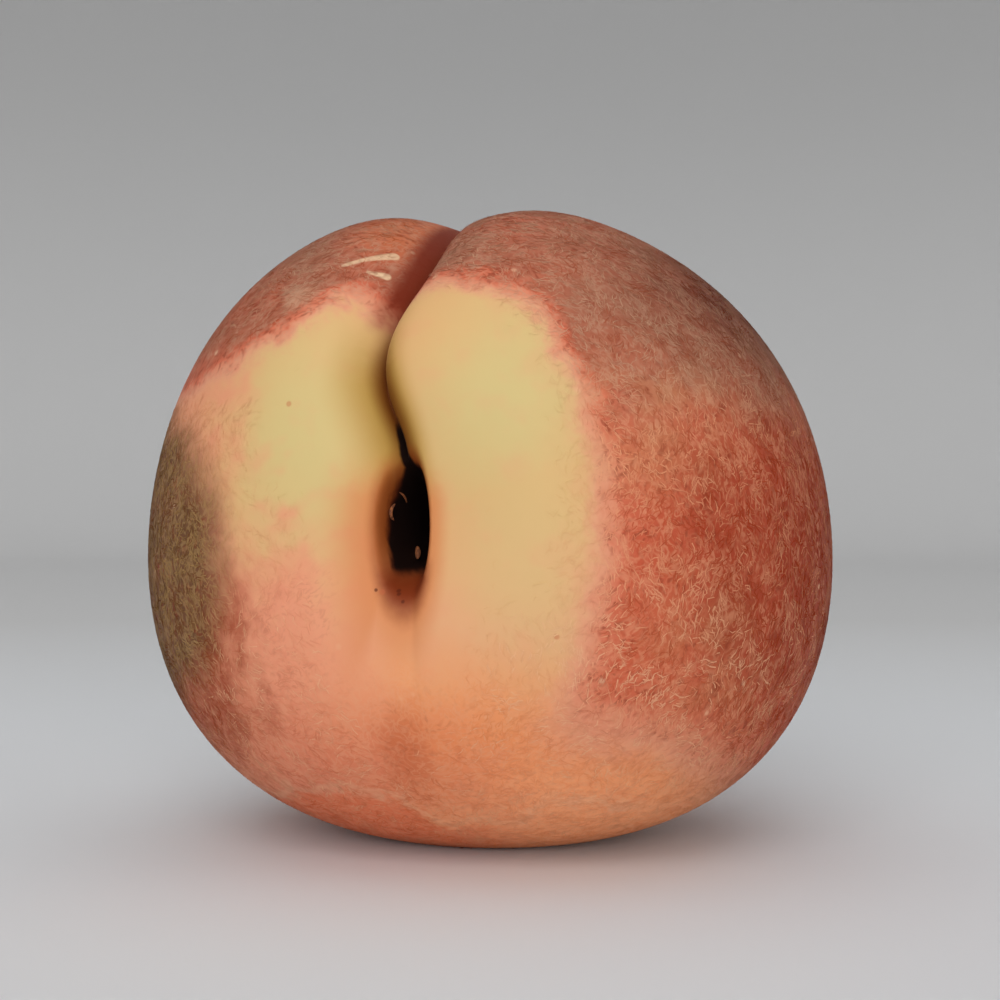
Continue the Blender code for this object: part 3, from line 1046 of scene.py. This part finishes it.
def bare_skin(reaches, turns):
    """How bare of down the skin is in these directions: in the cavity and on the lips of the crease."""
    beside, span = landmarks(reaches, turns)
    widths = beside / BARE_CREASE_WIDTH
    by_crease = smooth_step(widths + BARE_CREASE_LEFT) * smooth_step(1.0 - widths)
    by_crease *= (np.cos(turns) > 0.0) * (depths(reaches, turns)[0] > BARE_CREASE_DEPTH)
    return np.maximum(by_crease, smooth_step((BARE_SPAN - span) / BARE_SPAN_FADE))


def hair_headings(spots, normals, middle, rng):
    """Which way each hair lies: round the fruit's axis, or back, and straying from that."""
    count = len(spots)
    around = np.cross((0.0, 1.0, 0.0), spots - np.array(middle))
    around -= normals * (around * normals).sum(axis=1)[:, None]
    around /= np.linalg.norm(around, axis=1)[:, None]
    beside = np.cross(normals, around)
    turn = waves(spots, HAIR_TURN_LUMPS, 3) + rng.normal(0.0, HAIR_STRAY, count)
    turn += math.pi * rng.integers(0, 2, count)
    return around * np.cos(turn)[:, None] + beside * np.sin(turn)[:, None]


def hair_corners(spots, normals, heading, settings, rng):
    """Corners of one bent strip for each hair: two at its root, two at its knee and one at its tip."""
    count = len(spots)
    sideways = np.cross(normals, heading)
    length = settings.length * rng.uniform(*HAIR_LENGTHS, count)[:, None]
    width = settings.width * rng.uniform(*HAIR_WIDTHS, count)[:, None]
    curl = rng.normal(0.0, HAIR_CURL, count)[:, None] * length
    lift = settings.lift * rng.uniform(*HAIR_LIFTS, count)[:, None]
    root = spots - normals * settings.lift * 0.1
    knee = spots + heading * length * 0.5 + sideways * curl + normals * lift
    tip = spots + heading * length + normals * lift * 0.7
    edge = sideways * width / 2
    return np.stack([root - edge, root + edge, knee + edge, knee - edge, tip], axis=1).reshape(-1, 3)


def down_material(colours, middle):
    """Pale hairs that take up the colour of the skin under them."""
    material, shader, wire = new_material("peach_down")
    skin, downy, patch, up = skin_colour(place_on_fruit(wire, middle), colours)
    shade = stored(wire, "shade")
    strand = up.rise(0.20, 0.45).between(colours.down, colours.ash)
    hair = skin.mixed(strand, (downy * 0.8 + 0.2) * shade.rise(0.15, 0.95) * 0.58 * (1.0 - patch))
    hair = hair.mixed(colours.scuff, up.rise(-0.05, -0.40) * shade.rise(0.55, 1.0) * 0.30)
    hair = hair.mixed(colours.moss, patch * shade.rise(0.2, 0.9) * 0.8)
    hair = hair.mixed(colours.gaps, downy * downy * shade.rise(0.40, 0.0) * 0.30 * (1.0 - patch * 0.6))
    return finished(material, shader, hair, DOWN_ROUGHNESS, 0.0)


class PEACH_OT_down(bpy.types.Operator):
    """Lay the short matted hairs of the down on the skin, along circles about the fruit's axis"""

    bl_idname = "peach.build_down"
    bl_label = "Build down"

    def execute(self, context):
        settings = context.scene.peach_down
        fine = context.scene.peach_skin
        rng = np.random.default_rng(settings.seed)
        places, middle = skin_places(fine)
        faces = np.array([face for face in grid_faces(fine.rings, fine.columns) if len(face) == 4])
        bare = bare_skin(*grid_angles(fine.rings, fine.columns))
        spots, normals = scatter(places, faces, bare, settings.count, rng)
        heading = hair_headings(spots, normals, middle, rng)
        corners = hair_corners(spots, normals, heading, settings, rng)
        corners[:, 2] = np.maximum(corners[:, 2], places.min(axis=0)[2])
        first = np.arange(settings.count)[:, None] * HAIR_CORNERS
        faces = (first + HAIR_QUAD).tolist() + (first + HAIR_POINT).tolist()
        mesh = new_mesh("peach_down", corners.tolist(), faces)
        shade = 0.5 + HAIR_SHADE_WAVE * waves(spots, HAIR_SHADE_LUMPS, 5)
        shade += rng.normal(0.0, HAIR_SHADE_STRAY, settings.count)
        add_values(mesh, "shade", np.repeat(np.clip(shade, 0.0, 1.0), HAIR_CORNERS))
        mesh.materials.append(down_material(fine, middle))
        piece = new_object("peach_down", mesh)
        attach(piece, "root")
        return {"FINISHED"}


def sweep_profile(radius):
    """Radius and height of the studio's pale sweep, from the middle of its floor to the top of its wall."""
    cove = SWEEP_COVE * radius
    steps = SWEEP_START * radius * SWEEP_GROWTH ** np.arange(SWEEP_RINGS)
    floor = [(step, 0.0) for step in steps if step < radius - cove]
    turns = np.linspace(0.0, math.pi / 2.0, SWEEP_BEND_RINGS)
    bend = [(radius - cove + cove * math.sin(turn), cove - cove * math.cos(turn)) for turn in turns]
    return [(0.0, 0.0)] + floor + bend + [(radius, SWEEP_HEIGHT * radius)]


def sweep_mesh(radius):
    """Floor and wall of the studio in one round sweep."""
    profile = sweep_profile(radius)
    turns = math.tau * np.arange(SWEEP_SIDES) / SWEEP_SIDES
    places = [(out * math.cos(turn), out * math.sin(turn), up) for out, up in profile for turn in turns]
    faces = []
    for low in range(0, (len(profile) - 1) * SWEEP_SIDES, SWEEP_SIDES):
        high = low + SWEEP_SIDES
        for side in range(SWEEP_SIDES):
            beside = (side + 1) % SWEEP_SIDES
            faces.append((low + side, low + beside, high + beside, high + side))
    mesh = new_mesh("studio_sweep", places, faces)
    mesh.shade_smooth()
    return mesh


def sweep_material(settings):
    """Matt pale paper, painted in a gradient as light and shade: a little darker between the fruit and the
    wall, and grey up the wall.
    """
    material, shader, wire = new_material("studio_sweep")
    place = wire.node("ShaderNodeTexCoord", {}, {}, "Object")
    out = place.length() * (1.0 / settings.sweep_radius)
    # Painted shade: the paper darker half way out and grey up the wall, where less light falls.
    stops = ((0.08, settings.floor), (0.24, settings.middle_floor_shade), (0.75, settings.far_floor))
    paper = wire.node("ShaderNodeValToRGB", {"stops": stops}, {0: out})
    paper = paper.mixed(settings.wall, place.part(2).rise(0.0, settings.wall_height))
    return finished(material, shader, paper, PAPER_ROUGHNESS, 0.0)


def add_light(name, place, size, power, target):
    """A square soft light that faces the fruit."""
    light = bpy.data.lights.new(name, "AREA")
    light.energy = power
    light.size = size
    lamp = new_object(name, light)
    lamp.visible_camera = False
    lamp.location = place
    lamp.rotation_euler = (Vector(target) - Vector(place)).to_track_quat("-Z", "Y").to_euler()


def add_camera(scene, settings, middle):
    """The camera, level with the fruit and a little to its +X side."""
    camera = bpy.data.cameras.new("studio_camera")
    camera.sensor_width = 36.0
    camera.lens = settings.lens
    camera.shift_y = settings.shift_up
    camera.shift_x = settings.shift_across
    view = new_object("studio_camera", camera)
    turn = settings.camera_turn
    off = Vector((math.sin(turn), -math.cos(turn), 0.0)) * settings.camera_distance
    view.location = Vector(middle) + off + Vector((0.0, 0.0, settings.camera_rise))
    view.rotation_euler = (math.pi / 2.0, 0.0, turn)
    scene.camera = view


class PEACH_OT_stage(bpy.types.Operator):
    """Build the pale sweep, the soft lights and the camera"""

    bl_idname = "peach.build_stage"
    bl_label = "Build studio"

    def execute(self, context):
        scene = context.scene
        settings = scene.peach_stage
        mesh = sweep_mesh(settings.sweep_radius)
        mesh.materials.append(sweep_material(settings))
        new_object("studio_sweep", mesh)
        air = bpy.data.worlds.new("studio_air")
        air.use_nodes = True
        air.node_tree.nodes["Background"].inputs["Color"].default_value = (1.0, 1.0, 1.0, 1.0)
        air.node_tree.nodes["Background"].inputs["Strength"].default_value = settings.sky_strength
        scene.world = air
        scene.view_settings.view_transform = "Standard"
        target = (np.array(CAD_LOW) + np.array(CAD_HIGH)) / 2.0
        size = settings.light_size
        add_light("key_light", settings.key_place, size, settings.key_power, target)
        add_light("front_light", settings.front_place, size, settings.front_power, target)
        add_camera(scene, settings, skin_places(scene.peach_skin)[1])
        return {"FINISHED"}


class PEACH_PT_sidebar(bpy.types.Panel):
    """Sizes and colours of the peach, with the buttons that build it"""

    bl_idname = "PEACH_PT_sidebar"
    bl_label = "Ripe Peach"
    bl_space_type = "VIEW_3D"
    bl_region_type = "UI"
    bl_category = "Peach"

    def draw(self, context):
        for group, operator in GROUPS:
            settings = getattr(context.scene, group)
            box = self.layout.box()
            for name in type(settings).__annotations__:
                box.prop(settings, name)
            box.operator(operator)


GROUPS = (
    ("peach_stage", "peach.build_stage"),
    ("peach_skin", "peach.build_skin"),
    ("peach_scraps", "peach.build_scraps"),
    ("peach_down", "peach.build_down"),
)
CLASSES = (
    SkinSettings,
    ScrapSettings,
    DownSettings,
    StageSettings,
    PEACH_OT_skin,
    PEACH_OT_scraps,
    PEACH_OT_down,
    PEACH_OT_stage,
    PEACH_PT_sidebar,
)


def register():
    for item in CLASSES:
        bpy.utils.register_class(item)
    bpy.types.Scene.peach_skin = PointerProperty(type=SkinSettings)
    bpy.types.Scene.peach_scraps = PointerProperty(type=ScrapSettings)
    bpy.types.Scene.peach_down = PointerProperty(type=DownSettings)
    bpy.types.Scene.peach_stage = PointerProperty(type=StageSettings)


def unregister():
    del bpy.types.Scene.peach_stage
    del bpy.types.Scene.peach_down
    del bpy.types.Scene.peach_scraps
    del bpy.types.Scene.peach_skin
    for item in reversed(CLASSES):
        bpy.utils.unregister_class(item)


def main():
    register()
    bpy.ops.peach.build_stage()
    bpy.ops.peach.build_skin()
    bpy.ops.peach.build_scraps()
    bpy.ops.peach.build_down()


if __name__ == "__main__":
    main()
